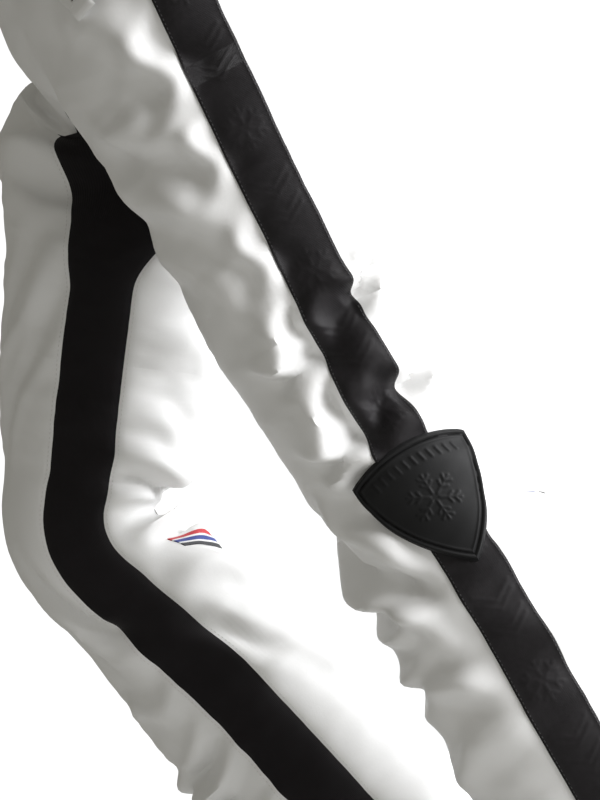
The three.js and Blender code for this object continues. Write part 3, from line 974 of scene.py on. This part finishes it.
def hem(half):
    """The binding round the hem, and the snow cuff with its grip band inside it."""
    s = half.name
    shin, whole = f"{s}_shin", (0.0, 1.0)
    binding = cloth(f"{s}_hem_tape", half, (HEM - 15, HEM + 0.5), whole, TAPE, lift=0.9, thick=4.0,
                    spacing=2.5, shape=lambda across, along: 0.5 * np.exp(-((along - 2) / 1.2) ** 2))
    close_seam(binding)
    declare(half, (HEM - 15, HEM), whole)
    hold(binding, shin, "black_tape", f"{s}_hem_binding")
    depth, turn = np.full(420, HEM - 12.5), np.linspace(0, 1, 420)
    thread = stitches(f"{s}_hem_stitches", half.at(depth, turn, 1.1), half.normal(depth, turn), BLACK_THREAD)
    hold(thread, shin, "black_tape")
    depths = (CUFF_TOP, HEM - 14)
    cuff = cloth(f"{s}_cuff_cloth", half, depths, whole, LINING, lift=-12.5, thick=1.0, spacing=2.6,
                 shape=gathers)
    close_seam(cuff)
    declare(half, depths, whole)
    hold(cuff, shin, "grey_lining", f"{s}_snow_cuff")
    grip = cloth(f"{s}_cuff_grip_band", half, (HEM - 34, HEM - 17), whole, RUBBER, lift=-15.6, thick=1.2,
                 spacing=1.6, shape=lambda across, along: 0.5 * np.sin(along * 2 * np.pi / 4.2) - 0.3)
    close_seam(grip)
    hold(grip, shin, "black_rubber", f"{s}_cuff_grip")


def close_seam(piece):
    """Joins a sheet that runs all the way round where its two ends meet."""
    bm = bmesh.new()
    bm.from_mesh(piece.data)
    bmesh.ops.remove_doubles(bm, verts=bm.verts[:], dist=0.00005)
    bm.to_mesh(piece.data)
    bm.free()


# ---------------------------------------------------------------- waist

BAND_HEIGHT = 46
BAND_ROWS = (3.5, 42.0)
LOOP_TURNS = (0.12, 0.42, 0.58, 0.88)
LOOP_HALF_WIDTH = 5
ADJUSTER_TURNS = {"left": 0.3, "right": 0.7}
ADJUSTER_HALF_WIDTH = 31


def quilted(across, along):
    """The waistband dips at its two rows of stitches and ripples a little between them."""
    rows = np.exp(-((along - BAND_ROWS[0]) / 1.3) ** 2) + np.exp(-((along - BAND_ROWS[1]) / 1.3) ** 2)
    return -0.8 * rows + 0.25 * np.sin(across / 5.5) * np.exp(-((along - 22) / 16) ** 2)


def flap(across, along):
    """The front tab's turned edges and the row beside them."""
    edge = np.minimum(np.minimum(along, 34 - along), 20.5 - np.abs(across))
    return -1.3 * np.exp(-(edge / 1.2) ** 2) - 0.45 * np.exp(-((edge - 3.4) / 0.9) ** 2)


def bridge(across, along):
    """A belt loop stands clear of the waistband between its sewn ends."""
    rise = smooth(along / 5) * smooth((41 - along) / 5)
    return 3.4 * rise - 0.4 * np.exp(-((LOOP_HALF_WIDTH - np.abs(across)) / 0.7) ** 2)


def pull_tab(across, along):
    """The adjuster's soft edge and raised border."""
    edge = np.minimum(np.minimum(along, 22 - along), ADJUSTER_HALF_WIDTH - np.abs(across))
    return -0.9 * np.exp(-(edge / 0.9) ** 2) + 0.3 * np.exp(-((edge - 2.4) / 0.8) ** 2)


def about(turn, half_width):
    """Start and end turns of a narrow piece of the waist."""
    half_turn = half_width / float(WAIST.reach(np.array(22.0), np.array(turn)))
    return turn - half_turn, turn + half_turn


def waist_sheet(name, depths, turns, finish, lift, thick, body, slot, node, spacing=2.5, shape=None):
    piece = cloth(name, WAIST, depths, turns, finish, lift=lift, thick=thick, spacing=spacing, shape=shape)
    hold(piece, body, slot, node)
    return piece


def waist():
    """The waistband, its front tab, belt loops and adjusters."""
    depths, turns = (0, BAND_HEIGHT), (0.006, 0.994)
    band = waist_sheet("waistband_cloth", depths, turns, SHELL, 1.2, 4.0, "seat", "white_shell", "waistband",
                       shape=quilted)
    declare(WAIST, depths, turns)
    for k, depth in enumerate(BAND_ROWS):
        turn = np.linspace(0.01, 0.99, 500)
        out = WAIST.at(depth, turn, 5) - WAIST.at(depth, turn, 0)
        thread = stitches(f"waistband_stitches_{k}", WAIST.at(depth, turn, 0.6), out, WHITE_THREAD)
        hold(thread, "seat", "white_shell")
    waist_sheet("waist_tab_cloth", (6, 40), (-0.022, 0.022), SHELL, 3.9, 1.6, "waist_tab", "white_shell",
                "waist_tab", spacing=1.4, shape=flap)
    for k, turn in enumerate(LOOP_TURNS, 1):
        waist_sheet(f"belt_loop_{k}_webbing", (1.5, 42.5), about(turn, LOOP_HALF_WIDTH), TAPE, 1.9, 1.2,
                    "seat", "black_tape", f"belt_loop_{k}", spacing=0.9, shape=bridge)
    for s, turn in ADJUSTER_TURNS.items():
        waist_sheet(f"{s}_adjuster_webbing", (11.5, 33.5), about(turn, ADJUSTER_HALF_WIDTH), TAPE, 4.0, 1.8,
                    f"{s}_adjuster", "black_tape", f"{s}_adjuster_tab", spacing=1.1, shape=pull_tab)


# ---------------------------------------------------------------- zips and pockets

class Strip:
    """The straight strip that a zip tape covers: its top, its length and its three directions."""

    def __init__(self, node, facing):
        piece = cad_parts[node]
        corners = np.array([(piece.matrix_world @ v.co)[:] for v in piece.data.vertices]) / MM
        middle = (corners.max(0) + corners.min(0)) / 2
        spread = np.linalg.svd(corners - corners.mean(0), full_matrices=False)[2]
        self.along = spread[0] * (-1 if spread[0][2] > 0 else 1)
        self.out = spread[2] * (-1 if np.dot(spread[2], facing) < 0 else 1)
        self.across = np.cross(self.out, self.along)
        reach = (corners - middle) @ np.stack([self.along, self.out], 1)
        self.length = float(np.ptp(reach[:, 0]))
        self.top = middle + self.along * reach[:, 0].min() + self.out * reach[:, 1].min()

    def point(self, across, along, lift):
        across, along, lift = np.broadcast_arrays(across, along, lift)
        return (self.top + self.across * across[..., None] + self.along * along[..., None]
                + self.out * lift[..., None]) * MM


TOOTH_PITCH = 1.5
TOOTH_SIZE = Matrix.Diagonal((1.5 * MM, 0.42 * MM, 0.5 * MM, 1))
FLY_TAPE_WIDTH = 11
POCKET_TAPE_WIDTH = 14
WELT_GAP = 5.0
WELT_WIDTH = 16.2
WELT_OVERRUN = 8


def zip_tape(name, strip, width):
    """Woven tape with two rows of coil teeth."""
    bm, across, along = flat_grid(10, 60)
    unwrap(bm, width, strip.length)
    x, y = (across - 0.5) * width, along * strip.length
    lift = 0.9 - 0.3 * (np.abs(x) > width / 2 - 1)
    piece = lay_out(bm, strip.point(x, y, lift), strip.point(x, y, 6.0), 0.8, f"{name}_zip_cloth", TAPE)
    hold(piece, "seat", "black_tape", f"{name}_zip_tape")
    bm = bmesh.new()
    for k in range(int((strip.length - 4) / TOOTH_PITCH)):
        for side in (-1, 1):
            place = Matrix((strip.across, strip.along, strip.out)).transposed().to_4x4()
            place.translation = strip.point(side * 1.15, 2 + (k + 0.25 * side) * TOOTH_PITCH, 0.85)
            bmesh.ops.create_uvsphere(bm, u_segments=6, v_segments=4, radius=1, matrix=place @ TOOTH_SIZE)
    soften(bm, 3.2)
    teeth = finish_mesh(bm, f"{name}_zip_teeth", BLACK_THREAD)
    hold(teeth, "seat", "black_tape")


def pocket_welt(half, strip, k, side):
    """A raised lip of shell fabric along one side of the zip, which sinks into the front panel."""
    bm, across, along = flat_grid(14, 60)
    unwrap(bm, WELT_WIDTH, strip.length)
    y = along * (strip.length + 2 * WELT_OVERRUN) - WELT_OVERRUN
    away = WELT_GAP + across * WELT_WIDTH
    depth = 64 + 98 * y / strip.length
    middle = 0.30 + 0.048 * y / strip.length
    turn = middle + side * half.side * away / half.reach(depth, middle)
    ground = half.at(depth, turn, 0.2)
    towards = 1 if np.dot(strip.across, ground[len(ground) // 2] - strip.top * MM) >= 0 else -1
    high = strip.point(towards * away, y, 2.8 - 0.5 * across)
    ends = smooth((y + WELT_OVERRUN) / 9) * smooth((strip.length + WELT_OVERRUN - y) / 9)
    share_high = (ends * (1 - smooth((away - 9) / 12)))[:, None]
    places = ground * (1 - share_high) + high * share_high
    welt = lay_out(bm, places, places + strip.out * 0.01, 1.2, f"{half.name}_pocket_welt_{k}", SHELL)
    hold(welt, "seat", "white_shell")


def end_cap(name, strip):
    """A patch of shell fabric sewn over the lower end of a zip."""
    bm, across, along = flat_grid(16, 12)
    x, below = (across - 0.5) * 22, along * 15 - 7
    edge = np.minimum(11 - np.abs(x), np.minimum(below + 7, 8 - below))
    lift = 2.9 - 1.2 * np.exp(-(edge / 1.0) ** 2) - 1.6 * smooth((below - 2) / 6)
    y = strip.length + below
    cap = lay_out(bm, strip.point(x, y, lift), strip.point(x, y, lift + 5), 1.0, f"{name}_zip_end_cap", SHELL)
    hold(cap, "seat", "white_shell")


def pocket(half):
    """The pocket zip between its two welts, and the pocket bag inside."""
    s = half.name
    strip = Strip(f"{s}_pocket_zip_tape", half.normal(np.array(110.0), np.array(0.32)))
    zip_tape(f"{s}_pocket", strip, POCKET_TAPE_WIDTH)
    for k, side in enumerate((-1, 1)):
        pocket_welt(half, strip, k, side)
    end_cap(f"{s}_pocket", strip)
    depths, turns = (72, 194), (0.12, 0.38)
    bag = cloth(f"{s}_pocket_bag_cloth", half, depths, turns, LINING, lift=-8.0, thick=0.8, spacing=5,
                shape=lambda across, along: 0.8 * np.sin(across / 9) * np.sin(along / 13))
    declare(half, depths, turns)
    hold(bag, "seat", "grey_lining", f"{s}_pocket_bag")


def fly():
    """The front zip and the shield behind it."""
    zip_tape("fly", Strip("fly_zip_tape", np.array([0.0, -1.0, 0.0])), FLY_TAPE_WIDTH)
    depths, turns = (50, 186), (-0.028, 0.028)
    shield = waist_sheet("fly_shield_cloth", depths, turns, SHELL, -5.5, 1.2, "seat", "white_shell",
                         "fly_shield", spacing=4)
    declare(WAIST, depths, turns)


waist()
fly()
for half in HALVES.values():
    leg_panels(half)
    side_tape(half)
    panel_stitches(half)
    knee_badge(half)
    knee_trim(half)
    hem(half)
    pocket(half)

for name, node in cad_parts.items():
    if any(word in name for word in ("slider", "pull", "snap")):
        node.data.materials.clear()
        node.data.materials.append(METAL)


# ---------------------------------------------------------------- floor, light and camera

def studio():
    lowest = CAD_BOX[0][2] - 0.02
    bm = bmesh.new()
    bmesh.ops.create_circle(bm, cap_ends=True, segments=96, radius=1.35)
    bmesh.ops.translate(bm, verts=bm.verts[:], vec=(0, 0, lowest))
    s = Shader("pale_floor", 0.8)
    s.paint("Base Color", s.blend(s.noise(3.0), rgb(0.78, 0.78, 0.77), rgb(0.84, 0.84, 0.83)))
    floor = finish_mesh(bm, "floor", s.material)
    world = bpy.data.worlds.new("studio_white")
    bpy.context.scene.world = world
    world.use_nodes = True
    tree = world.node_tree
    lit = tree.nodes["Background"]
    lit.inputs["Color"].default_value = (1.0, 0.97, 0.865, 1)
    lit.inputs["Strength"].default_value = 0.23
    seen = tree.nodes.new("ShaderNodeBackground")
    seen.inputs["Strength"].default_value = 1.1
    seen.inputs["Color"].default_value = (1, 1, 1, 1)
    path = tree.nodes.new("ShaderNodeLightPath")
    mix = tree.nodes.new("ShaderNodeMixShader")
    tree.links.new(path.outputs["Is Camera Ray"], mix.inputs[0])
    tree.links.new(lit.outputs[0], mix.inputs[1])
    tree.links.new(seen.outputs[0], mix.inputs[2])
    tree.links.new(mix.outputs[0], tree.nodes["World Output"].inputs["Surface"])


def area_light(name, place, target, size, power, colour=(1, 1, 1)):
    light = bpy.data.lights.new(name, "AREA")
    light.shape = "SQUARE"
    light.size = size
    light.energy = power
    light.color = colour
    lamp = bpy.data.objects.new(name, light)
    lamp.location = place
    lamp.rotation_euler = (Vector(target) - Vector(place)).to_track_quat("-Z", "Y").to_euler()
    bpy.context.scene.collection.objects.link(lamp)


CAMERA_DISTANCE = 3.2
ROLL = math.radians(22)
SEEN_HEIGHT = 0.624


def camera():
    """Level with the thighs at the wearer's left, tilted so that the trunk leans forward."""
    data = bpy.data.cameras.new("camera")
    data.sensor_fit = "VERTICAL"
    data.sensor_height = 24
    data.lens = data.sensor_height * CAMERA_DISTANCE / SEEN_HEIGHT
    data.clip_start = 0.05
    view = bpy.data.objects.new("camera", data)
    right = Vector((0, math.cos(ROLL), -math.sin(ROLL)))
    up = Vector((0, math.sin(ROLL), math.cos(ROLL)))
    view.matrix_world = Matrix((right, up, Vector((1, 0, 0)))).transposed().to_4x4()
    view.location = (CAMERA_DISTANCE, -0.009, -0.518)
    bpy.context.scene.collection.objects.link(view)
    bpy.context.scene.camera = view


studio()
area_light("key", (0.78, 2.85, -0.62), (0, 0, -0.55), 1.3, 50, (0.97, 0.975, 1))
area_light("side", (1.6, 2.5, -0.2), (0, 0, -0.5), 1.2, 58, (0.98, 0.98, 1))
area_light("back", (-0.15, 3.0, -0.6), (0, 0, -0.65), 1.2, 76, (0.97, 0.975, 1))
area_light("low_fill", (2.1, -0.9, -0.95), (0, 0, -0.85), 1.2, 2)
area_light("top", (0.3, 1.7, 1.4), (0, 0.1, -0.75), 1.4, 36)
camera()
bpy.context.scene.view_settings.view_transform = "Standard"
